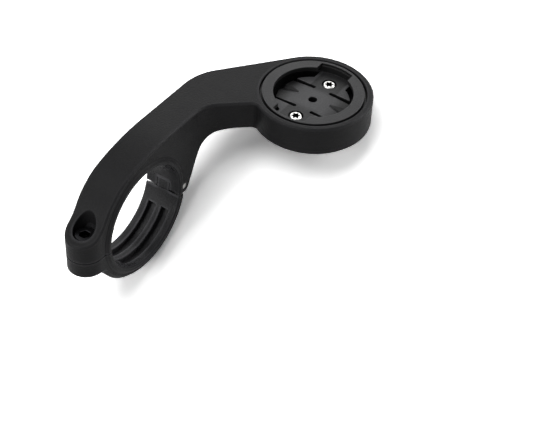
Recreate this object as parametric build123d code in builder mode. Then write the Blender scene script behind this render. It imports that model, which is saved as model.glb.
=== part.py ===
"""Out-front mount that holds a bicycle computer ahead of the handlebar.

A hinged clamp closes round a 35 mm bar with one screw. An arm runs forward and to one side from it
and ends in a round head, which carries a quarter-turn socket fixed by two screws.
Millimetres, +Z up. The origin is the centre of the bar bore, +X points forward and Y lies along the bar.
"""

import os
from math import atan, atan2, cos, degrees, hypot, radians, sin, sqrt, tan

from build123d import *

# Clamp round the bar
bar_d = 35.0
clamp_wall = 4.5
arm_w = 12.2
collar_proud = 0.75
collar_t = 1.3
collar_slope_run = 1.2
bore_chamfer = 0.3
split_z = -1.4
split_gap = 0.4

# Hinge at the front of the clamp
hinge_x = 20.7
hinge_z = -2.3
pin_d = 2.0
pin_inset = 0.1
pin_play = 0.05
lug_r = 3.0
lug_toe_angle = 130.0
shoulder_gap = 0.55
knuckle_r = 3.5
knuckle_w = 4.5
knuckle_side_gap = 0.3
knuckle_top_gap = 0.2

# Clamp screw and its captive nut at the back of the clamp
screw_x = -21.8
screw_d = 4.0
screw_len = 10.0
screw_pitch = 0.7
screw_head_d = 7.0
screw_head_h = 4.0
screw_socket_af = 3.0
screw_socket_depth = 2.0
screw_chamfer = 0.4
screw_seat_z = 1.6
seat_gap = 0.05
screw_hole_play = 0.2
counterbore_play = 0.15
nut_af = 7.0
nut_h = 3.2
nut_thread_play = 0.05
nut_play = 0.1
nut_travel = 2.8
nut_ceiling_z = -4.4
jaw_boss_bottom_z = -8.0
jaw_boss_fillet = 2.5
jaw_chamfer = 1.1
boss_flare_r = 14.0
boss_flare_angle = 148.0

# Arm
arm_top_z = 24.0
arm_t = 10.4
crown_run = 14.0
leg_angle = 63.0
leg_fillet = 12.0
bend_far_x = 44.0
bend_far_r = 18.0
bend_near_x = 31.6
bend_near_r = 10.0
near_edge_angle = 49.0
neck_fillet = 2.5
edge_chamfer = 0.5
under_chamfer = 0.6

# Head
head_x = 58.1
head_y = -30.0
head_wall = 2.05
recess_depth = 7.0
recess_chamfer = 0.15

# Quarter-turn socket
cavity_d = 31.0
lip_overhang = 2.5
lip_t = 1.4
insert_wall = 1.8
insert_play = 0.1
insert_step_w = 0.75
insert_step_h = 1.4
socket_depth = 3.25
floor_t = 1.8
notch_w = 11.8
ledge_depth = 1.0
ledge_w = 0.3
window_w = 3.5
slot_x = 5.9
slot_w = 1.3
slot_start = 2.6
tongue_bend = 3.5
tongue_drop = 0.55
detent_x = 0.85
detent_start = 5.9
detent_tip_w = 1.1
detent_end_w = 4.0
detent_depth = 1.0
centre_hole_d = 3.0

# Screws that hold the socket
insert_screw_x = 10.1
insert_screw_d = 2.5
insert_screw_head_d = 4.3
insert_screw_head_h = 1.4
insert_screw_chamfer = 0.4
insert_screw_len = 4.5
insert_screw_recess_d = 4.9
insert_screw_sink = 0.1
insert_screw_hole_play = 0.15
insert_boss_d = 6.4
pilot_spare = 0.15

# Grip pockets inside the jaw
pocket_w = 3.0
pocket_y = 2.6
pocket_depth = 1.8
pocket_start = -33.0
pocket_end = -122.0

# Values that follow from the ones above
bar_r = bar_d / 2
outer_r = bar_r + clamp_wall
half_w = arm_w / 2
collar_half_w = half_w + collar_proud
collar_r = bar_r + collar_t
collar_foot_r = collar_r + collar_slope_run
arm_under_z = arm_top_z - arm_t
arm_split_z = split_z + split_gap / 2
jaw_split_z = split_z - split_gap / 2
cavity_r = cavity_d / 2
lip_r = cavity_r - lip_overhang
floor_rim_r = cavity_r - window_w
insert_r = cavity_r + insert_wall
recess_r = insert_r + insert_play
head_r = recess_r + head_wall
recess_z = arm_top_z - recess_depth
floor_z = arm_top_z - socket_depth
insert_screw_seat_z = floor_z - insert_screw_head_h - insert_screw_sink
insert_screw_tip_z = insert_screw_seat_z - insert_screw_len
screw_hole_r = screw_d / 2 + screw_hole_play
screw_under_head_z = screw_seat_z + seat_gap
beyond = 5.0

hinge = Vector(hinge_x, hinge_z)
hinge_to_screw = hinge_x - screw_x
open_angle = degrees(atan(nut_travel / (hinge_to_screw + nut_af / 2 + nut_play * 3)))
nut_drop = hinge_z - nut_ceiling_z + nut_play + nut_h / 2 + nut_travel
nut_shift = nut_drop * sin(radians(open_angle)) - hinge_to_screw * (1 - cos(radians(open_angle)))
nut_tilt_play = nut_h / 2 * sin(radians(open_angle))
screw_sway = hinge_to_screw * (1 / cos(radians(open_angle)) - 1) + (
    hinge_z - nut_ceiling_z
) * tan(radians(open_angle))


def polar(centre, radius, angle):
    """Point at a radius and angle from a centre, in degrees."""
    return Vector(
        centre.X + radius * cos(radians(angle)), centre.Y + radius * sin(radians(angle))
    )


def nearest(vertices, x, y):
    """The vertex that lies closest to a point of the sketch."""
    return sorted(vertices, key=lambda v: hypot(v.X - x, v.Y - y))[0]


def arm_side():
    """Side outline of the upper half, the leg and the arm, with the bore still filled."""
    crown_r = (crown_run**2 + arm_top_z**2 - outer_r**2) / (2 * (arm_top_z - outer_r))
    crown_centre = Vector(crown_run, arm_top_z - crown_r)
    crown_angle = degrees(atan2(-crown_centre.Y, -crown_centre.X))
    flare_centre = polar(Vector(0, 0), outer_r + boss_flare_r, boss_flare_angle)
    front_x = head_x + head_r + beyond
    lug_front = polar(hinge, lug_r, leg_angle - 90)
    leg_run = (arm_under_z - lug_front.Y) / tan(radians(leg_angle))
    leg_top = Vector(lug_front.X + leg_run, arm_under_z)
    toe = polar(hinge, lug_r, -lug_toe_angle)
    toe_run = polar(toe, hinge_x - bar_r + beyond, 270 - lug_toe_angle)
    with BuildSketch() as side:
        with BuildLine():
            flare = CenterArc(flare_centre, boss_flare_r, -90, boss_flare_angle - 90)
            back = CenterArc(
                (0, 0), outer_r, boss_flare_angle, crown_angle - boss_flare_angle
            )
            crown = CenterArc(crown_centre, crown_r, crown_angle, 90 - crown_angle)
            lug = CenterArc(
                hinge, lug_r, leg_angle - 90, 90 - leg_angle - lug_toe_angle
            )
            Polyline(
                crown @ 1,
                (front_x, arm_top_z),
                (front_x, arm_under_z),
                leg_top,
                lug @ 0,
            )
            Polyline(
                lug @ 1,
                toe_run,
                (-bar_r + beyond, arm_split_z),
                (flare_centre.X, arm_split_z),
                flare @ 0,
            )
        make_face()
        fillet(nearest(side.vertices(), leg_top.X, leg_top.Y), leg_fillet)
    return side.sketch


def arm_plan():
    """Outline of the arm and head seen from above: round back end, bend, taper and round head."""
    centre = Vector(head_x, head_y)
    far = Vector(bend_far_x, half_w)
    near = Vector(bend_near_x, -half_w)
    reach = (centre - far).length
    to_head = degrees(atan2(centre.Y - far.Y, centre.X - far.X))
    swing = degrees(atan(head_r / sqrt(reach**2 - head_r**2)))
    tangent = polar(far, sqrt(reach**2 - head_r**2), to_head + swing)
    near_run = polar(near, head_r, -near_edge_angle)
    with BuildSketch() as plan:
        with BuildLine():
            Polyline(
                (screw_x, half_w),
                far,
                tangent,
                centre,
                near_run,
                near,
                (screw_x, -half_w),
                close=True,
            )
        make_face()
        with Locations((screw_x, 0)):
            Circle(half_w)
        with Locations(centre):
            Circle(head_r)
        fillet(nearest(plan.vertices(), far.X, far.Y), bend_far_r)
        fillet(nearest(plan.vertices(), near.X, near.Y), bend_near_r)
        neck = sorted(
            plan.vertices(),
            key=lambda v: abs(hypot(v.X - head_x, v.Y - head_y) - head_r)
            + hypot(v.X - near.X, v.Y - near.Y) / head_r,
        )[0]
        fillet(neck, neck_fillet)
    return plan.sketch


def jaw_side():
    """Side outline of the lower jaw with its boss and without its hinge knuckle."""
    toe = polar(hinge, lug_r + shoulder_gap, -lug_toe_angle)
    toe_run = polar(toe, hinge_x - bar_r + beyond, 270 - lug_toe_angle)
    boss_root_x = -sqrt(outer_r**2 - jaw_boss_bottom_z**2)
    with BuildSketch() as side:
        Circle(outer_r)
        with Locations((screw_x, jaw_boss_bottom_z)):
            Rectangle(arm_w, outer_r, align=(Align.CENTER, Align.MIN))
        fillet(
            nearest(side.vertices(), boss_root_x, jaw_boss_bottom_z), jaw_boss_fillet
        )
        with Locations((bar_r * 0.5 + beyond, jaw_split_z)):
            Rectangle(
                3 * outer_r,
                2 * outer_r,
                align=(Align.MAX, Align.MIN),
                mode=Mode.SUBTRACT,
            )
        with Locations(hinge):
            Circle(lug_r + shoulder_gap, mode=Mode.SUBTRACT)
        with BuildLine():
            Polyline(
                toe,
                toe_run,
                (toe_run.X, outer_r),
                (outer_r + beyond, outer_r),
                (outer_r + beyond, hinge_z),
                hinge,
                close=True,
            )
        make_face(mode=Mode.SUBTRACT)
    return side.sketch


def collar_slope():
    """Profile of what is cut away outside a collar, for a turn about the bar axis."""
    with BuildSketch() as profile:
        with BuildLine():
            Polyline(
                (collar_foot_r, half_w),
                (collar_r, collar_half_w),
                (collar_r, collar_half_w + beyond),
                (collar_foot_r, collar_half_w + beyond),
                close=True,
            )
        make_face()
    return profile.sketch


def on_top(edge):
    """Whether an edge of the side walls belongs to the upper outline."""
    middle = edge.center()
    if middle.X < 0:
        return middle.Z > 0
    return middle.Z > (arm_top_z + arm_under_z) / 2


def below_arm(edge):
    """Whether an edge of the side walls lies under the head or round the leg and lug."""
    return edge.center().X > hinge_x - lug_r and not on_top(edge)


def is_bore_rim(edge):
    """Whether an edge is an arc of the bore at the face of a collar."""
    if edge.geom_type != GeomType.CIRCLE:
        return False
    return abs(edge.radius - bar_r) < 0.001 and abs(edge.center().Y) > half_w


def side_rims(part):
    """Edges of the upright walls that aren't upright themselves."""
    walls = part.faces().filter_by(lambda f: abs(f.normal_at().Z) < 0.001)
    return walls.edges().filter_by(Axis.Z, reverse=True)


with BuildPart() as arm:
    with BuildSketch(Plane.XZ):
        add(arm_side())
    extrude(amount=head_r * 4, both=True)
    with BuildSketch(Plane.XY.offset(-outer_r)):
        add(arm_plan())
    extrude(amount=outer_r * 3, mode=Mode.INTERSECT)
    chamfer(side_rims(arm).filter_by(on_top), edge_chamfer)
    chamfer(side_rims(arm).filter_by(below_arm), under_chamfer)
    # Collars that stand proud of both sides, each with a slope round it
    with BuildSketch(Plane.XZ):
        add(arm_side())
        Circle(collar_foot_r, mode=Mode.INTERSECT)
    extrude(amount=collar_half_w, both=True)
    with BuildSketch():
        add(collar_slope())
        mirror(about=Plane.XZ)
    revolve(axis=Axis.Y, mode=Mode.SUBTRACT)
    with BuildSketch(Plane.XZ):
        Circle(bar_r)
    extrude(amount=arm_w, both=True, mode=Mode.SUBTRACT)
    chamfer(arm.edges().filter_by(is_bore_rim), bore_chamfer)
    # Counterbore and clearance hole for the clamp screw
    with Locations((screw_x, 0, arm_top_z)):
        CounterBoreHole(
            screw_hole_r,
            screw_head_d / 2 + counterbore_play,
            arm_top_z - screw_seat_z,
            depth=arm_top_z - split_z + beyond,
        )
    # Slot between the lugs for the knuckle of the jaw, and the hole for the pin
    with BuildSketch(Plane.XZ):
        with Locations(hinge):
            Circle(knuckle_r + knuckle_top_gap)
            Rectangle(
                2 * (knuckle_r + knuckle_top_gap),
                2 * outer_r,
                align=(Align.CENTER, Align.MAX),
            )
    extrude(
        amount=knuckle_w / 2 + knuckle_side_gap, both=True, mode=Mode.SUBTRACT
    )
    with BuildSketch(Plane.XZ):
        with Locations(hinge):
            Circle(pin_d / 2)
    extrude(amount=arm_w, both=True, mode=Mode.SUBTRACT)
    # Recess for the socket, with blind holes for its screws
    with Locations((head_x, head_y, arm_top_z)):
        Hole(recess_r, recess_depth)
    recess_rim = arm.edges().filter_by(GeomType.CIRCLE)
    chamfer(
        recess_rim.filter_by(
            lambda e: abs(e.radius - recess_r) < 0.001
            and abs(e.center().Z - arm_top_z) < 0.001
        ),
        recess_chamfer,
    )
    with Locations(
        (head_x - insert_screw_x, head_y, recess_z),
        (head_x + insert_screw_x, head_y, recess_z),
    ):
        Hole(insert_screw_d / 2, recess_z - insert_screw_tip_z + pilot_spare)

with BuildPart() as lower_jaw:
    with BuildSketch(Plane.XZ):
        add(jaw_side())
    extrude(amount=half_w, both=True)
    with BuildSketch(Plane.XY.offset(-outer_r)):
        with Locations((screw_x, 0)):
            Circle(half_w)
            Rectangle(2 * outer_r, arm_w, align=(Align.MIN, Align.CENTER))
    extrude(amount=2 * outer_r, mode=Mode.INTERSECT)
    chamfer(
        side_rims(lower_jaw).filter_by(
            lambda e: hypot(e.center().X, e.center().Z) > bar_r
            and e.center().Z < jaw_split_z - 1
            and e.center().X < hinge_x - lug_r
        ),
        jaw_chamfer,
    )
    with BuildSketch(Plane.XZ):
        add(jaw_side())
        Circle(collar_foot_r, mode=Mode.INTERSECT)
    extrude(amount=collar_half_w, both=True)
    with BuildSketch():
        add(collar_slope())
        mirror(about=Plane.XZ)
    revolve(axis=Axis.Y, mode=Mode.SUBTRACT)
    # Knuckle that turns on the pin between the lugs
    with BuildSketch(Plane.XZ):
        Circle(outer_r)
        with Locations((hinge_x, hinge_z)):
            Rectangle(
                2 * knuckle_r,
                2 * knuckle_r,
                align=(Align.CENTER, Align.MAX),
                mode=Mode.INTERSECT,
            )
            Circle(knuckle_r)
    extrude(amount=knuckle_w / 2, both=True)
    with BuildSketch(Plane.XZ):
        Circle(bar_r)
        with Locations(hinge):
            Circle(pin_d / 2 + pin_play)
    extrude(amount=arm_w, both=True, mode=Mode.SUBTRACT)
    chamfer(lower_jaw.edges().filter_by(is_bore_rim), bore_chamfer)
    # Two grip pockets along the inside of the bore
    with BuildSketch(Plane.XZ):
        with BuildLine():
            outer_arc = CenterArc(
                (0, 0), bar_r + pocket_depth, pocket_start, pocket_end - pocket_start
            )
            inner_arc = CenterArc(
                (0, 0), bar_r - beyond, pocket_start, pocket_end - pocket_start
            )
            Line(outer_arc @ 0, inner_arc @ 0)
            Line(outer_arc @ 1, inner_arc @ 1)
        make_face()
    pocket_band = extrude(amount=pocket_w / 2, both=True, mode=Mode.PRIVATE)
    with Locations((0, pocket_y, 0), (0, -pocket_y, 0)):
        add(pocket_band, mode=Mode.SUBTRACT)
    # Pocket that keeps the nut from turning, and the hole for the screw
    with BuildSketch(Plane.XY.offset(nut_ceiling_z)):
        with Locations((screw_x, 0), (screw_x - nut_shift, 0)):
            RegularPolygon(
                nut_af / 2 + nut_play + nut_tilt_play,
                6,
                major_radius=False,
                rotation=30,
            )
        make_hull()
    extrude(amount=-outer_r, mode=Mode.SUBTRACT)
    with BuildSketch(Plane.XY.offset(nut_ceiling_z)):
        with Locations((screw_x - screw_sway / 2, 0)):
            SlotCenterToCenter(screw_sway, 2 * screw_hole_r)
    extrude(amount=outer_r, mode=Mode.SUBTRACT)

with BuildPart() as hinge_pin:
    with BuildSketch(Plane.XZ):
        with Locations(hinge):
            Circle(pin_d / 2)
    extrude(amount=half_w - pin_inset, both=True)

with BuildPart() as clamp_screw:
    with BuildSketch(Plane.XY.offset(screw_under_head_z)):
        with Locations((screw_x, 0)):
            Circle(screw_head_d / 2)
    extrude(amount=screw_head_h)
    chamfer(clamp_screw.edges().group_by(Axis.Z)[-1], screw_chamfer)
    with BuildSketch(Plane.XY.offset(screw_under_head_z)):
        with Locations((screw_x, 0)):
            Circle(screw_d / 2)
    extrude(amount=-screw_len)
    chamfer(clamp_screw.edges().group_by(Axis.Z)[0], screw_chamfer)
    with BuildSketch(Plane.XY.offset(screw_under_head_z + screw_head_h)):
        with Locations((screw_x, 0)):
            RegularPolygon(screw_socket_af / 2, 6, major_radius=False)
    extrude(amount=-screw_socket_depth, mode=Mode.SUBTRACT)

with BuildPart() as clamp_nut:
    with BuildSketch(Plane.XY.offset(nut_ceiling_z - nut_play)):
        with Locations((screw_x, 0)):
            RegularPolygon(nut_af / 2, 6, major_radius=False, rotation=30)
            Circle(screw_d / 2 + nut_thread_play, mode=Mode.SUBTRACT)
    extrude(amount=-nut_h)

with BuildPart() as quarter_turn_insert:
    with BuildSketch(Plane((head_x, head_y, recess_z))):
        Circle(insert_r)
    extrude(amount=recess_depth)
    # Step round the top that leaves a groove beside the head
    with BuildSketch(Plane((head_x, head_y, arm_top_z))):
        Circle(insert_r + beyond)
        Circle(insert_r - insert_step_w, mode=Mode.SUBTRACT)
    extrude(amount=-insert_step_h, mode=Mode.SUBTRACT)
    # Opening between the lips, with a notch at each end
    with BuildSketch(Plane((head_x, head_y, arm_top_z))):
        Circle(cavity_r)
        Rectangle(cavity_d, notch_w, mode=Mode.INTERSECT)
        Circle(lip_r)
    extrude(amount=-socket_depth, mode=Mode.SUBTRACT)
    with BuildSketch(Plane((head_x, head_y, arm_top_z))):
        Circle(cavity_r + ledge_w)
        Rectangle(cavity_d + 2 * ledge_w, notch_w, mode=Mode.INTERSECT)
    extrude(amount=-ledge_depth, mode=Mode.SUBTRACT)
    # Undercut behind the lips
    with BuildSketch(Plane((head_x, head_y, arm_top_z - lip_t))):
        Circle(cavity_r)
    extrude(amount=lip_t - socket_depth, mode=Mode.SUBTRACT)
    # Hollow under the floor, with a boss round each screw
    with BuildSketch(Plane((head_x, head_y, recess_z))):
        Circle(cavity_r)
        with Locations((-insert_screw_x, 0), (insert_screw_x, 0)):
            Circle(insert_boss_d / 2, mode=Mode.SUBTRACT)
    extrude(amount=floor_z - floor_t - recess_z, mode=Mode.SUBTRACT)
    # Windows through the floor under the lips
    with BuildSketch(Plane((head_x, head_y, recess_z))):
        Circle(cavity_r)
        Circle(floor_rim_r, mode=Mode.SUBTRACT)
        Rectangle(cavity_d, notch_w, mode=Mode.SUBTRACT)
    extrude(amount=floor_z - recess_z, mode=Mode.SUBTRACT)
    # Slots that free two tongues, and the hole in the middle
    with BuildSketch(Plane((head_x, head_y, recess_z))):
        for slot_side in (-1, 1):
            for slot_end in (-1, 1):
                with Locations(
                    (slot_side * slot_x, slot_end * (slot_start + cavity_d) / 2)
                ):
                    SlotOverall(cavity_d - slot_start, slot_w, rotation=90)
        Circle(cavity_r, mode=Mode.INTERSECT)
        Circle(centre_hole_d / 2)
    extrude(amount=floor_z - recess_z, mode=Mode.SUBTRACT)
    # Fall of each tongue towards its free end
    with BuildSketch(Plane((head_x, head_y, 0), x_dir=(0, 1, 0), z_dir=(1, 0, 0))):
        for end in (-1, 1):
            with BuildLine():
                Polyline(
                    (end * tongue_bend, floor_z),
                    (end * floor_rim_r, floor_z - tongue_drop),
                    (end * floor_rim_r, floor_z + tongue_drop),
                    close=True,
                )
            make_face()
    extrude(amount=slot_x, both=True, mode=Mode.SUBTRACT)
    # Catch groove along each tongue, wider and deeper outwards
    for end in (-1, 1):
        for reach, width, depth in (
            (detent_start, detent_tip_w, detent_depth * detent_tip_w / detent_end_w),
            (floor_rim_r, detent_end_w, detent_depth),
        ):
            bed_z = floor_z - tongue_drop * (reach - tongue_bend) / (
                floor_rim_r - tongue_bend
            )
            with BuildSketch(
                Plane(
                    (head_x + detent_x, head_y + end * reach, bed_z),
                    x_dir=(1, 0, 0),
                    z_dir=(0, -1, 0),
                )
            ):
                with BuildLine():
                    Polyline(
                        (-width / 2, tongue_drop),
                        (-width / 2, 0),
                        (0, -depth),
                        (width / 2, 0),
                        (width / 2, tongue_drop),
                        close=True,
                    )
                make_face()
        loft(mode=Mode.SUBTRACT)
    # Seats and holes for the two screws
    with Locations(
        (head_x - insert_screw_x, head_y, floor_z),
        (head_x + insert_screw_x, head_y, floor_z),
    ):
        CounterBoreHole(
            insert_screw_d / 2 + insert_screw_hole_play,
            insert_screw_recess_d / 2,
            insert_screw_head_h + insert_screw_sink,
            depth=floor_z - recess_z,
        )

with BuildPart() as insert_screws:
    for side in (-1, 1):
        with BuildSketch(
            Plane((head_x + side * insert_screw_x, head_y, insert_screw_seat_z))
        ):
            Circle(insert_screw_head_d / 2)
        extrude(amount=insert_screw_head_h)
        with BuildSketch(
            Plane((head_x + side * insert_screw_x, head_y, insert_screw_seat_z))
        ):
            Circle(insert_screw_d / 2)
        extrude(amount=-insert_screw_len)
    chamfer(insert_screws.edges().group_by(Axis.Z)[-1], insert_screw_chamfer)

arm.part.label = "arm"
lower_jaw.part.label = "lower_jaw"
hinge_pin.part.label = "hinge_pin"
clamp_screw.part.label = "clamp_screw"
clamp_nut.part.label = "clamp_nut"
quarter_turn_insert.part.label = "quarter_turn_insert"
insert_screws.part.label = "insert_screws"

os.makedirs("parts", exist_ok=True)
export_step(arm.part, "parts/arm.step")
export_step(lower_jaw.part, "parts/lower_jaw.step")
export_step(hinge_pin.part, "parts/hinge_pin.step")
export_step(clamp_screw.part, "parts/clamp_screw.step")
export_step(clamp_nut.part, "parts/clamp_nut.step")
export_step(quarter_turn_insert.part, "parts/quarter_turn_insert.step")
export_step(insert_screws.part, "parts/insert_screws.step")
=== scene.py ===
"""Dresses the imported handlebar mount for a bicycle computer.

It gives the solids their moulded plastics, makes the steel fasteners and sets up a studio.
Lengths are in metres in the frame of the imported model: the origin is the centre of the bar bore,
+X is forward, Y lies along the bar and +Z is up.
"""

from math import asin, atan2, cos, pi, radians, sin, tan

import bpy
from mathutils import Euler, Matrix, Vector


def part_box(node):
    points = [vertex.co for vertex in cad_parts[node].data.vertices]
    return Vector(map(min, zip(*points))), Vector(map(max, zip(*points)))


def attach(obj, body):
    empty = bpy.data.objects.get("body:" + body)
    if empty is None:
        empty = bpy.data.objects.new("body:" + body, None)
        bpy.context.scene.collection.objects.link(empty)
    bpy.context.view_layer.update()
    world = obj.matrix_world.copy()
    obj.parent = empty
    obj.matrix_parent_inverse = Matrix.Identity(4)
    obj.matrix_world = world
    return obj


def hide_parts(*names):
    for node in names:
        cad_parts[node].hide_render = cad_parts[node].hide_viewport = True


bl_info = {
    "name": "Handlebar computer mount",
    "version": (1, 0, 0),
    "blender": (4, 5, 0),
    "location": "View3D > Sidebar > Mount",
    "description": "Builds the finished look of an out-front handlebar mount",
    "category": "Object",
}

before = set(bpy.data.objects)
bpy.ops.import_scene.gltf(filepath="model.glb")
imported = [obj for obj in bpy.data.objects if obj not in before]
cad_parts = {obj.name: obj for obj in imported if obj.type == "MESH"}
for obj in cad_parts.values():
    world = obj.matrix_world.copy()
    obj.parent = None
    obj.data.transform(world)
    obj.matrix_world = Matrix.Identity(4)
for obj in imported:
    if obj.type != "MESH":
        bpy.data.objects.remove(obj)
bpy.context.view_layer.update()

MM = 0.001
WHITE = (1, 1, 1, 1)
# Points round each turned piece, and rings along each turn of a thread
ROUND_STEPS = 96
THREAD_STEPS = 6
# Outer radius of the M4 thread
THREAD_R = 2.0 * MM
# Edges of a made piece that turn by more than this stay sharp
SHARP_ANGLE = radians(32)
# Rays for each look at edges and recesses
EDGE_SAMPLES = 6
# Pitch of the rings of a wave texture at a scale of 1
WAVE_PITCH = 0.314
# Corners of a square, counterclockwise
QUARTERS = ((-1, -1), (1, -1), (1, 1), (-1, 1))


class MouldedPlasticSettings(bpy.types.PropertyGroup):
    """Finish of the moulded clamp, arm and socket."""

    clamp_colour: bpy.props.StringProperty(
        name="Clamp colour",
        description="sRGB hex of the glass-filled nylon of arm and jaw",
        default="#151516",
    )
    clamp_roughness: bpy.props.FloatProperty(
        name="Clamp roughness",
        description="Middle roughness of the arm and jaw",
        default=0.45,
        min=0.0,
        max=1.0,
        subtype="FACTOR",
    )
    socket_colour: bpy.props.StringProperty(
        name="Socket colour",
        description="sRGB hex of the acetal of the quarter-turn socket",
        default="#282829",
    )
    socket_roughness: bpy.props.FloatProperty(
        name="Socket roughness",
        description="Middle roughness of the socket",
        default=0.45,
        min=0.0,
        max=1.0,
        subtype="FACTOR",
    )
    grain: bpy.props.FloatProperty(
        name="Grain",
        description="Width of the spark-eroded grain of the mould",
        default=0.45 * MM,
        min=0.02 * MM,
        unit="LENGTH",
        precision=5,
    )
    grain_depth: bpy.props.FloatProperty(
        name="Grain depth",
        description="Depth of the grain",
        default=0.12 * MM,
        min=0.0,
        unit="LENGTH",
        precision=6,
    )
    soft_edge: bpy.props.FloatProperty(
        name="Soft edge",
        description="Radius that the mould's edges have",
        default=0.25 * MM,
        min=0.0,
        unit="LENGTH",
        precision=5,
    )
    # Painted highlight: how far the lighter band painted along outer edges reaches
    edge_highlight_reach: bpy.props.FloatProperty(
        name="Edge reach",
        description="How far the rubbed band reaches from an outer edge",
        default=1.0 * MM,
        min=0.0,
        unit="LENGTH",
        precision=5,
    )
    # Painted highlight: how much lighter the outer edges are painted
    edge_highlight_gain: bpy.props.FloatProperty(
        name="Edge gain",
        description="How much lighter a rubbed edge is than the face beside it",
        default=2.4,
        min=0.0,
    )
    # Painted light: how much lighter the bore's colour is painted
    bore_painted_light: bpy.props.FloatProperty(
        name="Bore gain",
        description="How much lighter the rubbed bore is than the grained outside",
        default=2.0,
        min=0.0,
    )
    mark_pitch: bpy.props.FloatProperty(
        name="Mark pitch",
        description="Distance between the cutter's rings in the socket's mould",
        default=0.9 * MM,
        min=0.05 * MM,
        unit="LENGTH",
        precision=5,
    )


class FastenerSettings(bpy.types.PropertyGroup):
    """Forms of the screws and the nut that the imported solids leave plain."""

    thread_pitch: bpy.props.FloatProperty(
        name="Thread pitch",
        description="Pitch of the clamp screw and its nut",
        default=0.7 * MM,
        min=0.1 * MM,
        unit="LENGTH",
        precision=5,
    )
    thread_gap: bpy.props.FloatProperty(
        name="Thread gap",
        description="Room between the threads of screw and nut",
        default=0.05 * MM,
        min=0.0,
        unit="LENGTH",
        precision=5,
    )
    key_width: bpy.props.FloatProperty(
        name="Key width",
        description="Width across flats of the clamp screw's hexagon socket",
        default=3.0 * MM,
        min=0.5 * MM,
        unit="LENGTH",
        precision=5,
    )
    star_width: bpy.props.FloatProperty(
        name="Star width",
        description="Width over the points of the socket screws' star recess",
        default=3.1 * MM,
        min=0.5 * MM,
        unit="LENGTH",
        precision=5,
    )
    bright_colour: bpy.props.StringProperty(
        name="Bright steel",
        description="sRGB hex of the stainless steel",
        default="#d9d8d5",
    )
    dark_colour: bpy.props.StringProperty(
        name="Dark steel",
        description="sRGB hex of the black-oxide steel",
        default="#2a2a2c",
    )


class StageSettings(bpy.types.PropertyGroup):
    """Camera, lamps and floor."""

    camera_place: bpy.props.FloatVectorProperty(
        name="Camera place",
        description="Where the camera stands",
        default=(-242.284 * MM, -200.372 * MM, 290.098 * MM),
        subtype="TRANSLATION",
        unit="LENGTH",
    )
    camera_turn: bpy.props.FloatVectorProperty(
        name="Camera turn",
        description="Euler angles of the camera",
        default=(radians(47.0492), radians(-2.1959), radians(-56.2989)),
        subtype="EULER",
        unit="ROTATION",
    )
    table_gap: bpy.props.FloatProperty(
        name="Table gap",
        description="Room under the clamp, which lets the jaw swing open above the table",
        default=1.1 * MM,
        min=0.0,
        unit="LENGTH",
        precision=5,
    )
    focal_length: bpy.props.FloatProperty(
        name="Focal length",
        description="Focal length in millimetres on a 36 mm sensor",
        default=90.904,
        min=10.0,
    )
    top_power: bpy.props.FloatProperty(
        name="Top light",
        description="Power of the large soft lamp overhead",
        default=3.2,
        min=0.0,
        unit="POWER",
    )
    right_power: bpy.props.FloatProperty(
        name="Right light",
        description="Power of the soft lamp on the head's side",
        default=4.0,
        min=0.0,
        unit="POWER",
    )
    left_power: bpy.props.FloatProperty(
        name="Left light",
        description="Power of the low lamp that shines through the bore into the jaw",
        default=1.5,
        min=0.0,
        unit="POWER",
    )
    back_power: bpy.props.FloatProperty(
        name="Back light",
        description="Power of the small lamp behind, which the flat tops mirror",
        default=0.9,
        min=0.0,
        unit="POWER",
    )
    room_light: bpy.props.FloatProperty(
        name="Room light",
        description="Strength of the even light from all round",
        default=0.22,
        min=0.0,
    )


def linear(hex_colour):
    """Linear RGBA of an sRGB hex colour."""
    parts = [int(hex_colour[i : i + 2], 16) / 255 for i in (1, 3, 5)]
    return [
        part / 12.92 if part <= 0.04045 else ((part + 0.055) / 1.055) ** 2.4
        for part in parts
    ] + [1.0]


def shaded(hex_colour, factor):
    """The linear colour made lighter or darker by a factor."""
    return [part * factor for part in linear(hex_colour)[:3]] + [1.0]


def add_node(tree, kind, settings=None, values=None, links=None):
    """Adds a node, with its settings, the values of its sockets and the links into it."""
    node = tree.nodes.new(kind)
    for name, value in (settings or {}).items():
        setattr(node, name, value)
    for name, value in (values or {}).items():
        node.inputs[name].default_value = value
    for name, socket in (links or {}).items():
        tree.links.new(socket, node.inputs[name])
    return node


def new_material(name):
    """An empty node material and its tree."""
    material = bpy.data.materials.new(name)
    material.use_nodes = True
    material.node_tree.nodes.clear()
    return material, material.node_tree


def maths(tree, operation, *terms):
    """Result of a Math node whose terms are numbers or sockets."""
    numbers = {i: term for i, term in enumerate(terms) if isinstance(term, (int, float))}
    sockets = {i: term for i, term in enumerate(terms) if i not in numbers}
    return add_node(
        tree, "ShaderNodeMath", {"operation": operation}, numbers, sockets
    ).outputs["Value"]


def ramp(tree, value, start, end, low=0.0, high=1.0, ease="LINEAR"):
    """A value taken from one range to another and held at the ends."""
    return add_node(
        tree,
        "ShaderNodeMapRange",
        {"interpolation_type": ease},
        {"From Min": start, "From Max": end, "To Min": low, "To Max": high},
        {"Value": value},
    ).outputs["Result"]


def graded(tree, value, start, end, first, second):
    """A colour that goes from the first to the second as a value rises from start to end."""
    # Sockets 7 to 10 of a vector Map Range are its From Min, From Max, To Min and To Max
    return add_node(
        tree,
        "ShaderNodeMapRange",
        {"data_type": "FLOAT_VECTOR"},
        {7: (start,) * 3, 8: (end,) * 3, 9: first[:3], 10: second[:3]},
        {6: value},
    ).outputs["Vector"]


def noise(tree, place, width, detail, roughness=0.5):
    """Cloudy noise with spots of about the given width."""
    return add_node(
        tree,
        "ShaderNodeTexNoise",
        values={"Scale": 1 / width, "Detail": detail, "Roughness": roughness},
        links={"Vector": place},
    ).outputs["Fac"]


def length(tree, vector):
    """Length of a vector socket."""
    return add_node(
        tree, "ShaderNodeVectorMath", {"operation": "LENGTH"}, links={0: vector}
    ).outputs["Value"]


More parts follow.
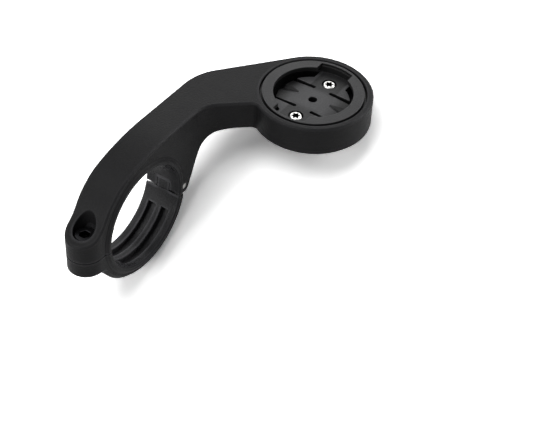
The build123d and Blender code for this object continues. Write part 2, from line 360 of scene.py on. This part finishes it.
def scaled(tree, colour, factor):
    """A colour socket times a value socket."""
    return add_node(
        tree,
        "ShaderNodeVectorMath",
        {"operation": "SCALE"},
        links={0: colour, "Scale": factor},
    ).outputs["Vector"]


def occlusion(tree, reach, inside=False):
    """How open the surface is within a reach, outside it or inside the solid."""
    return add_node(
        tree,
        "ShaderNodeAmbientOcclusion",
        {"inside": inside, "only_local": True, "samples": EDGE_SAMPLES},
        {"Distance": reach},
    ).outputs["AO"]


def painted_edge_highlight(tree, reach, gain):
    """A painted highlight: a factor that makes the colour lighter at convex edges."""
    edge, face = 0.55, 0.97
    return ramp(tree, occlusion(tree, reach, True), edge, face, 1 + gain, 1.0)


def shaded_recesses(tree, reach, darkest, lightest):
    """A factor that falls in slots, corners and key holes, where little light gets in."""
    deepest = 0.03
    return ramp(tree, occlusion(tree, reach), darkest, lightest, deepest, 1.0)


def moulded_plastic(
    name, hex_colour, roughness, mould, marks_and_painted_light, mottle, ior, shine, edge, shade
):
    """A matte plastic with the fine grain of its spark-eroded mould and softly broken edges.

    The marks and painted light give a factor for the colour and a smooth area, edge is the reach
    and gain of the painted edge highlight, and shade is the reach and the two limits of the
    painted shade in the recesses.
    """
    spread = 0.08
    polish = 0.18
    thin, dense = 0.35, 1.25
    material, tree = new_material(name)
    place = add_node(tree, "ShaderNodeTexCoord").outputs["Object"]
    # The grain is finer on the real mould, and is drawn this coarse so that it shows
    grain = noise(tree, place, mould.grain, 2.0, 0.6)
    # Flow of the melt, which leaves faint cloudy areas about 12 mm wide
    flow = noise(tree, place, 12 * MM, 3.0)
    blend = maths(tree, "MULTIPLY_ADD", grain, 0.6, flow)
    dark, light = shaded(hex_colour, 1 - mottle), shaded(hex_colour, 1 + mottle)
    colour = graded(tree, blend, thin, dense, dark, light)
    # Painted highlight: the colour is made lighter along convex edges
    colour = scaled(tree, colour, painted_edge_highlight(tree, *edge))
    colour = scaled(tree, colour, shaded_recesses(tree, *shade))
    factor, smooth = marks_and_painted_light(tree, place)
    # This factor holds real marks together with painted light and shade
    colour = scaled(tree, colour, factor)
    rough = ramp(tree, blend, thin, dense, roughness - spread, roughness + spread)
    if smooth:
        rough = maths(tree, "MULTIPLY_ADD", smooth, -polish, rough)
    soft = add_node(
        tree, "ShaderNodeBevel", {"samples": EDGE_SAMPLES}, {"Radius": mould.soft_edge}
    ).outputs["Normal"]
    bump = add_node(
        tree,
        "ShaderNodeBump",
        values={"Strength": 1.0, "Distance": mould.grain_depth},
        links={"Height": grain, "Normal": soft},
    ).outputs["Normal"]
    shader = add_node(
        tree,
        "ShaderNodeBsdfPrincipled",
        values={"IOR": ior, "Specular IOR Level": shine},
        links={"Base Color": colour, "Roughness": rough, "Normal": bump},
    ).outputs["BSDF"]
    add_node(tree, "ShaderNodeOutputMaterial", links={"Surface": shader})
    return material


def smooth_bore_painted_light(tree, place, gain):
    """The bore, left smooth by a polished core of the mould, with painted light that makes its
    colour lighter.

    Gives the factor for the colour, and a value that is 1 in the bore and 0 outside it.
    """
    sideways = add_node(tree, "ShaderNodeSeparateXYZ", links={0: place}).outputs["Y"]
    across = add_node(
        tree, "ShaderNodeVectorMath", {"operation": "MULTIPLY"}, {1: (1, 0, 1)}, {0: place}
    ).outputs["Vector"]
    # Both fades are 0.4 mm wide and end at the collar's rim
    reached = ramp(tree, length(tree, across), 19.8 * MM, 19.4 * MM, ease="SMOOTHSTEP")
    aside = maths(tree, "ABSOLUTE", sideways)
    between = ramp(tree, aside, 6.6 * MM, 6.2 * MM, ease="SMOOTHSTEP")
    smooth = maths(tree, "MULTIPLY", reached, between)
    # Painted light: the gain makes the bore's colour lighter
    return maths(tree, "MULTIPLY_ADD", smooth, gain, 1.0), smooth


def socket_marks_painted_light(tree, place, plate, pitch):
    """Cutter's rings all over, with a painted sheen on the floor, painted shade on the walls below
    the ring's top face and painted shade on the sprung tongues.

    Gives the factor for the colour, and no smooth area. The plate is the middle of the floor.
    """
    wall_shade, floor_sheen, tongue_shade, mark = 0.25, 1.75, 1.35, 0.07
    spot = add_node(
        tree, "ShaderNodeVectorMath", {"operation": "SUBTRACT"}, {1: plate}, {0: place}
    ).outputs["Vector"]
    # The cutter's rings are finer in the real mould, and are drawn this coarse so that they show
    rings = add_node(
        tree,
        "ShaderNodeTexWave",
        {"wave_type": "RINGS", "rings_direction": "Z"},
        {"Scale": WAVE_PITCH / pitch, "Distortion": 1.2, "Detail": 1.0},
        {"Vector": spot},
    ).outputs["Fac"]
    axes = add_node(tree, "ShaderNodeSeparateXYZ", links={0: spot}).outputs
    # The floor is what lies level with the plate, and the tongues are its narrow front and rear
    level, ahead, narrow = [
        ramp(
            tree,
            maths(tree, "ABSOLUTE", axes[axis]),
            outside * MM,
            inside * MM,
            ease="SMOOTHSTEP",
        )
        for axis, outside, inside in (("Z", 0.45, 0.12), ("X", 3.5, 6.5), ("Y", 5.2, 4.6))
    ]
    tongue = maths(tree, "MULTIPLY", maths(tree, "MULTIPLY", level, ahead), narrow)
    # Painted shade: the walls of slots, notches and cavity are painted nearly black below the top
    # face of the ring
    gain = ramp(tree, axes["Z"], 2.95 * MM, 3.2 * MM, wall_shade, 1.0)
    # Painted sheen: the floor level with the plate is painted lighter
    gain = maths(tree, "MULTIPLY_ADD", level, floor_sheen, gain)
    # Painted shade: the sprung tongues are painted darker
    gain = maths(tree, "MULTIPLY_ADD", tongue, -tongue_shade, gain)
    marks = ramp(tree, rings, 0.0, 1.0, 1 - mark, 1 + mark)
    return maths(tree, "MULTIPLY", gain, marks), None


def steel(name, hex_colour, roughness, mark_width):
    """A turned steel part, whose fine tool marks vary its sheen."""
    spread = 0.08
    material, tree = new_material(name)
    place = add_node(tree, "ShaderNodeTexCoord").outputs["Object"]
    marks = noise(tree, place, mark_width, 1.0)
    colour = graded(tree, marks, 0.3, 0.7, shaded(hex_colour, 0.85), linear(hex_colour))
    colour = scaled(tree, colour, shaded_recesses(tree, 2.5 * MM, 0.55, 0.9))
    rough = ramp(tree, marks, 0.0, 1.0, roughness - spread, roughness + spread)
    shader = add_node(
        tree,
        "ShaderNodeBsdfPrincipled",
        values={"Metallic": 1.0},
        links={"Base Color": colour, "Roughness": rough},
    ).outputs["BSDF"]
    add_node(tree, "ShaderNodeOutputMaterial", links={"Surface": shader})
    return material


def give(node_name, material):
    """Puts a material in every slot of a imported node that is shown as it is."""
    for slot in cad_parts[node_name].material_slots:
        slot.link = "OBJECT"
        slot.material = material


def around(radius_at, height_at):
    """One ring of points round the Z axis, from a radius and a height at each angle."""
    angles = [2 * pi * i / ROUND_STEPS for i in range(ROUND_STEPS)]
    return [
        (radius_at(a) * cos(a), radius_at(a) * sin(a), height_at(a)) for a in angles
    ]


def circle(radius, height):
    """A plain ring."""
    return around(lambda a: radius, lambda a: height)


def hexagon_radius(across_flats, angle):
    """Distance from the middle to a hexagon's side at an angle; a flat faces angle 0."""
    off = (angle + pi / 6) % (pi / 3) - pi / 6
    return across_flats / 2 / cos(off)


def thread_ring(root, crest, pitch, height):
    """One ring through a right-hand thread of 60 degrees with a flat crest and root."""

    def radius_at(angle):
        phase = (height / pitch - angle / (2 * pi)) % 1.0
        rise = abs(phase - 0.5) * 2
        return root + (crest - root) * min(max((rise - 0.125) / 0.7, 0.0), 1.0)

    return around(radius_at, lambda a: height)


def skin_piece(name, rings, centre, closed):
    """A mesh through rings of points.

    A closed one meets itself, and an open one has both ends capped.
    """
    vertices = [
        (x + centre[0], y + centre[1], z + centre[2]) for ring in rings for x, y, z in ring
    ]
    faces = []
    spans = len(rings) if closed else len(rings) - 1
    for row in range(spans):
        low = row * ROUND_STEPS
        high = (row + 1) % len(rings) * ROUND_STEPS
        for i in range(ROUND_STEPS):
            j = (i + 1) % ROUND_STEPS
            faces.append((low + i, low + j, high + j, high + i))
    if not closed:
        last = (len(rings) - 1) * ROUND_STEPS
        faces.append(tuple(reversed(range(ROUND_STEPS))))
        faces.append(tuple(range(last, last + ROUND_STEPS)))
    mesh = bpy.data.meshes.new(name)
    mesh.from_pydata(vertices, [], faces)
    mesh.polygons.foreach_set("use_smooth", [True] * len(faces))
    mesh.set_sharp_from_angle(angle=SHARP_ANGLE)
    piece = bpy.data.objects.new(name, mesh)
    bpy.context.scene.collection.objects.link(piece)
    return piece


def settle(piece, material, body, node):
    """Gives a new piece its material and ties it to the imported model."""
    piece.data.materials.append(material)
    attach(piece, body)
    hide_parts(node)


def straight_look(tree):
    """1 for rays of the eye, of a mirror image and of a view through glass, else 0."""
    rays = add_node(tree, "ShaderNodeLightPath").outputs
    seen = rays["Is Camera Ray"]
    for kind in ("Is Glossy Ray", "Is Transmission Ray"):
        seen = maths(tree, "MAXIMUM", seen, rays[kind])
    return seen


def mixed(tree, share, first, second):
    """The first shader where the share is 0 and the second where it is 1."""
    return add_node(
        tree, "ShaderNodeMixShader", links={0: share, 1: first, 2: second}
    ).outputs["Shader"]


def background(tree, strength):
    """White light of the world."""
    return add_node(
        tree, "ShaderNodeBackground", values={"Color": WHITE, "Strength": strength}
    ).outputs["Background"]


def leaning_table(gap):
    """Up direction and height of a table on which the clamp stands and the head's edge leans."""
    clamp_r = -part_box("lower_jaw")[0].z
    points = [Vector((v.co.x, v.co.z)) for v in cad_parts["arm"].data.vertices]
    tip = min(
        atan2(p.y, p.x) + asin(clamp_r / p.length) for p in points if p.x > 2 * clamp_r
    )
    return Vector((-sin(tip), 0, cos(tip))), -clamp_r - gap


def facing(place, way):
    """Matrix that puts an object at a place with its Z axis along a way."""
    turn = way.to_track_quat("Z", "Y").to_matrix().to_4x4()
    return Matrix.Translation(place) @ turn


def studio_card():
    """Pale card that takes the mount's shadow and runs out into the white of the backdrop."""
    paleness = 0.95
    fade_start, fade_end = 80 * MM, 260 * MM
    # Matte studio card: a plain white paper that mirrors nothing
    card, tree = new_material("Matte studio card")
    matte = add_node(
        tree, "ShaderNodeBsdfDiffuse", values={"Color": (paleness, paleness, paleness, 1)}
    ).outputs["BSDF"]
    seen = straight_look(tree)
    # The eye sees the card twice as bright as it is, as in an exposure that lets the floor run
    # out to white, and mirror images show it as it is lit, which is close to white too
    eye = add_node(tree, "ShaderNodeLightPath").outputs["Is Camera Ray"]
    twice = add_node(tree, "ShaderNodeAddShader", links={0: matte, 1: matte}).outputs["Shader"]
    lit = mixed(tree, eye, matte, twice)
    white = add_node(
        tree, "ShaderNodeEmission", values={"Color": WHITE, "Strength": 1.0}
    ).outputs["Emission"]
    place = add_node(tree, "ShaderNodeTexCoord").outputs["Object"]
    fade = ramp(tree, length(tree, place), fade_start, fade_end, ease="SMOOTHSTEP")
    above = mixed(tree, maths(tree, "MULTIPLY", fade, seen), lit, white)
    # From below, the card lets the eye through to the mount that stands on it
    below = add_node(
        tree, "ShaderNodeBsdfTransparent", values={"Color": WHITE}
    ).outputs["BSDF"]
    back = add_node(tree, "ShaderNodeNewGeometry").outputs["Backfacing"]
    shown = mixed(tree, maths(tree, "MULTIPLY", back, seen), above, below)
    add_node(tree, "ShaderNodeOutputMaterial", links={"Surface": shown})
    return card


def studio_world(room_light):
    """Even light from all round, and a backdrop that looks white to the eye."""
    wall_top, ceiling = 0.64, 0.92
    world = bpy.data.worlds.new("studio")
    world.use_nodes = True
    tree = world.node_tree
    tree.nodes.clear()
    # The white of the backdrop ends above, where the studio's ceiling is dim
    way = add_node(tree, "ShaderNodeTexCoord").outputs["Generated"]
    rise = add_node(tree, "ShaderNodeSeparateXYZ", links={0: way}).outputs["Z"]
    wall = ramp(tree, rise, wall_top, ceiling, 1.0, 0.0, "SMOOTHSTEP")
    wall = maths(tree, "MULTIPLY", wall, straight_look(tree))
    shown = mixed(tree, wall, background(tree, room_light), background(tree, 1.0))
    add_node(tree, "ShaderNodeOutputWorld", links={"Surface": shown})
    return world


class MOUNT_OT_clamp(bpy.types.Operator):
    """Finish the arm and the lower jaw in moulded glass-filled nylon"""

    bl_idname = "mount.clamp"
    bl_label = "Arm and jaw"

    def execute(self, context):
        mould = context.scene.mount_plastic
        # Glass-filled nylon: the short fibres leave a dull, slightly mottled charcoal black
        nylon = moulded_plastic(
            "Moulded glass-filled nylon",
            mould.clamp_colour,
            mould.clamp_roughness,
            mould,
            # The bore is smoother and has painted light
            lambda tree, place: smooth_bore_painted_light(tree, place, mould.bore_painted_light),
            mottle=0.16,
            ior=1.53,
            shine=0.1,
            edge=(mould.edge_highlight_reach, mould.edge_highlight_gain),
            shade=(2.0 * MM, 0.1, 0.6),
        )
        give("arm", nylon)
        give("lower_jaw", nylon)
        return {"FINISHED"}


class MOUNT_OT_socket(bpy.types.Operator):
    """Finish the quarter-turn socket in moulded acetal"""

    bl_idname = "mount.socket"
    bl_label = "Quarter-turn socket"

    def execute(self, context):
        mould = context.scene.mount_plastic
        floor_depth = 3.25 * MM
        edge_share = 0.3
        low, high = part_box("quarter_turn_insert")
        middle = (low + high) / 2
        plate = (middle.x, middle.y, high.z - floor_depth)
        # Acetal: denser and smoother than the nylon, so it looks a shade greyer in one light
        acetal = moulded_plastic(
            "Moulded acetal",
            mould.socket_colour,
            mould.socket_roughness,
            mould,
            # The socket's floor, walls and tongues have painted sheen and shade
            lambda tree, place: socket_marks_painted_light(tree, place, plate, mould.mark_pitch),
            mottle=0.08,
            ior=1.48,
            shine=0.26,
            edge=(edge_share * mould.edge_highlight_reach, edge_share * mould.edge_highlight_gain),
            shade=(1.2 * MM, 0.35, 0.85),
        )
        give("quarter_turn_insert", acetal)
        return {"FINISHED"}


class MOUNT_OT_bright_steel(bpy.types.Operator):
    """Make the two socket screws with their star recesses, and finish the hinge pin"""

    bl_idname = "mount.bright_steel"
    bl_label = "Socket screws and hinge pin"

    def execute(self, context):
        fasteners = context.scene.mount_fasteners
        # Stainless steel, turned and lightly polished: bright with a narrow highlight
        stainless = steel("Turned stainless steel", fasteners.bright_colour, 0.28, 0.15 * MM)
        give("hinge_pin", stainless)
        low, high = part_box("insert_screws")
        head_r = (high.y - low.y) / 2
        shank_r = 1.25 * MM
        seat = high.z - 1.4 * MM
        middle_y = (low.y + high.y) / 2
        star_r = fasteners.star_width / 2
        rings = [
            circle(shank_r * 0.6, low.z),
            circle(shank_r, low.z + 0.6 * MM),
            circle(shank_r, seat),
        ]
        # Domed head: share of its radius, and height above its seat in millimetres
        for share, height in ((1.0, 0.0), (1.0, 0.7), (0.97, 1.0), (0.89, 1.25)):
            rings.append(circle(head_r * share, seat + height * MM))
        rings.append(circle(head_r * 0.78, high.z))
        # Star recess: share of its width, and depth in millimetres
        for share, depth in ((1.0, 0.0), (0.86, 0.25), (0.8, 1.1)):
            rings.append(
                around(
                    lambda a: star_r * share * (0.82 + 0.18 * cos(6 * a)),
                    lambda a: high.z - depth * MM,
                )
            )
        rings.append(circle(star_r * 0.3, high.z - 1.3 * MM))
        for end, x in (("rear", low.x + head_r), ("front", high.x - head_r)):
            screw = skin_piece(f"socket_screw_{end}", rings, (x, middle_y, 0), False)
            settle(screw, stainless, "mount_arm", "insert_screws")
        return {"FINISHED"}


class MOUNT_OT_clamp_screw(bpy.types.Operator):
    """Make the threaded cap screw that closes the clamp"""

    bl_idname = "mount.clamp_screw"
    bl_label = "Clamp screw"

    def execute(self, context):
        fasteners = context.scene.mount_fasteners
        pitch = fasteners.thread_pitch
        low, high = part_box("clamp_screw")
        centre = ((low.x + high.x) / 2, (low.y + high.y) / 2, 0)
        head_r = (high.x - low.x) / 2
        under_head = high.z - 4.0 * MM
        crest = THREAD_R
        root = crest - 0.6134 * pitch
        tip = 0.3 * MM
        lead_in = 1.2 * MM
        neck = 0.8 * MM
        rings = [circle(root * 0.8, low.z)]
        height = low.z + tip
        while height < under_head - neck - 0.2 * MM:
            ease = min((height - low.z) / lead_in, 1.0)
            rings.append(thread_ring(root, root + (crest - root) * ease, pitch, height))
            height += pitch / THREAD_STEPS
        rings.append(circle(crest, under_head - neck))
        rings.append(circle(crest, under_head))
        rings.append(circle(head_r, under_head))
        # Knurled side of the head
        for height in (0.25, 3.4):
            rings.append(
                around(
                    lambda a: head_r - 0.12 * MM * abs(sin(24 * a)),
                    lambda a: under_head + height * MM,
                )
            )
        rings.append(circle(head_r - 0.15 * MM, high.z - 0.35 * MM))
        rings.append(circle(head_r - 0.5 * MM, high.z))
        # Hexagon socket with a small chamfer, down to its drilled end
        for inset, depth in ((0.15, 0.0), (0.0, 0.15), (0.0, 2.0)):
            rings.append(
                around(
                    lambda a: hexagon_radius(fasteners.key_width + 2 * inset * MM, a),
                    lambda a: high.z - depth * MM,
                )
            )
        rings.append(circle(0.4 * MM, high.z - 2.4 * MM))
        screw = skin_piece("cap_screw", rings, centre, False)
        # Black-oxide steel: a thin dark skin over machined steel, satin rather than shiny
        black = steel("Black-oxide steel", fasteners.dark_colour, 0.38, 0.2 * MM)
        settle(screw, black, "clamp_screw", "clamp_screw")
        return {"FINISHED"}


class MOUNT_OT_clamp_nut(bpy.types.Operator):
    """Make the threaded nut that the jaw holds"""

    bl_idname = "mount.clamp_nut"
    bl_label = "Clamp nut"

    def execute(self, context):
        fasteners = context.scene.mount_fasteners
        pitch = fasteners.thread_pitch
        low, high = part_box("clamp_nut")
        centre = ((low.x + high.x) / 2, (low.y + high.y) / 2, 0)
        across = high.x - low.x
        groove = THREAD_R + fasteners.thread_gap
        crest = groove - 0.5413 * pitch
        flat_r = across * 0.475
        bevel = tan(radians(30))
        mouth = 0.3 * MM
        rings = []
        height = high.z - mouth
        while height > low.z + mouth:
            rings.append(thread_ring(crest, groove, pitch, height))
            height -= pitch / THREAD_STEPS
        rings.append(circle(groove, low.z))
        rings.append(circle(flat_r, low.z))
        # The hexagon's corners are bevelled at both faces
        for face, way in ((low.z, 1), (high.z, -1)):
            rings.append(
                around(
                    lambda a: hexagon_radius(across, a),
                    lambda a: face
                    + way * max(hexagon_radius(across, a) - flat_r, 0) * bevel,
                )
            )
        rings.append(circle(flat_r, high.z))
        rings.append(circle(groove, high.z))
        nut = skin_piece("hex_nut", rings, centre, True)
        black = bpy.data.materials["Black-oxide steel"]
        settle(nut, black, "clamp_nut", "clamp_nut")
        return {"FINISHED"}


class MOUNT_OT_stage(bpy.types.Operator):
    """Set the pale floor, the studio lamps and the camera"""

    bl_idname = "mount.stage"
    bl_label = "Stage"

    def execute(self, context):
        stage = context.scene.mount_stage
        scene = context.scene
        card_half = 3.0
        mesh = bpy.data.meshes.new("floor")
        corners = [(x * card_half, y * card_half, 0) for x, y in QUARTERS]
        mesh.from_pydata(corners, [], [(0, 1, 2, 3)])
        mesh.materials.append(studio_card())
        floor = bpy.data.objects.new("floor", mesh)
        scene.collection.objects.link(floor)
        table_up, table_low = leaning_table(stage.table_gap)
        floor.matrix_world = facing(table_up * table_low, table_up)
        scene.world = studio_world(stage.room_light)

        lamp_distance = 0.7
        middle = Vector((25 * MM, -15 * MM, 10 * MM))
        for name, way, size, power in (
            ("top", (-0.35, 0.2, 0.91), 0.6, stage.top_power),
            ("right", (0.72, -0.62, 0.42), 0.4, stage.right_power),
            ("left", (-0.9, 0.38, 0.22), 0.4, stage.left_power),
            ("back", (0.62, 0.38, 0.68), 0.4, stage.back_power),
        ):
            lamp = bpy.data.lights.new(name, "AREA")
            lamp.shape = "DISK"
            lamp.size = size
            lamp.energy = power
            holder = bpy.data.objects.new(name, lamp)
            scene.collection.objects.link(holder)
            away = Vector(way).normalized()
            holder.matrix_world = facing(middle + away * lamp_distance, away)

        lens = bpy.data.cameras.new("camera")
        lens.sensor_width = 36.0
        lens.lens = stage.focal_length
        lens.clip_start = 10 * MM
        camera = bpy.data.objects.new("camera", lens)
        scene.collection.objects.link(camera)
        camera.matrix_world = Matrix.Translation(stage.camera_place) @ (
            Euler(stage.camera_turn).to_matrix().to_4x4()
        )
        scene.camera = camera
        scene.view_settings.view_transform = "Standard"
        return {"FINISHED"}


class MOUNT_PT_panel(bpy.types.Panel):
    """Sidebar panel with the mount's pieces and finishes"""

    bl_idname = "MOUNT_PT_panel"
    bl_label = "Computer mount"
    bl_space_type = "VIEW_3D"
    bl_region_type = "UI"
    bl_category = "Mount"

    def draw(self, context):
        for group in SETTINGS:
            settings = getattr(context.scene, group)
            box = self.layout.box()
            for name in settings.__annotations__:
                box.prop(settings, name)
        for operator in OPERATORS:
            self.layout.operator(operator.bl_idname)


OPERATORS = (
    MOUNT_OT_clamp,
    MOUNT_OT_socket,
    MOUNT_OT_bright_steel,
    MOUNT_OT_clamp_screw,
    MOUNT_OT_clamp_nut,
    MOUNT_OT_stage,
)
SETTINGS = {
    "mount_plastic": MouldedPlasticSettings,
    "mount_fasteners": FastenerSettings,
    "mount_stage": StageSettings,
}


def register():
    """Adds the settings, operators and panel to Blender."""
    for name, group in SETTINGS.items():
        bpy.utils.register_class(group)
        setattr(bpy.types.Scene, name, bpy.props.PointerProperty(type=group))
    for operator in OPERATORS:
        bpy.utils.register_class(operator)
    bpy.utils.register_class(MOUNT_PT_panel)


def unregister():
    """Takes them out again."""
    bpy.utils.unregister_class(MOUNT_PT_panel)
    for operator in reversed(OPERATORS):
        bpy.utils.unregister_class(operator)
    for name, group in reversed(SETTINGS.items()):
        delattr(bpy.types.Scene, name)
        bpy.utils.unregister_class(group)


def main():
    """Builds everything."""
    register()
    bpy.ops.mount.clamp()
    bpy.ops.mount.socket()
    bpy.ops.mount.bright_steel()
    bpy.ops.mount.clamp_screw()
    bpy.ops.mount.clamp_nut()
    bpy.ops.mount.stage()


if __name__ == "__main__":
    main()
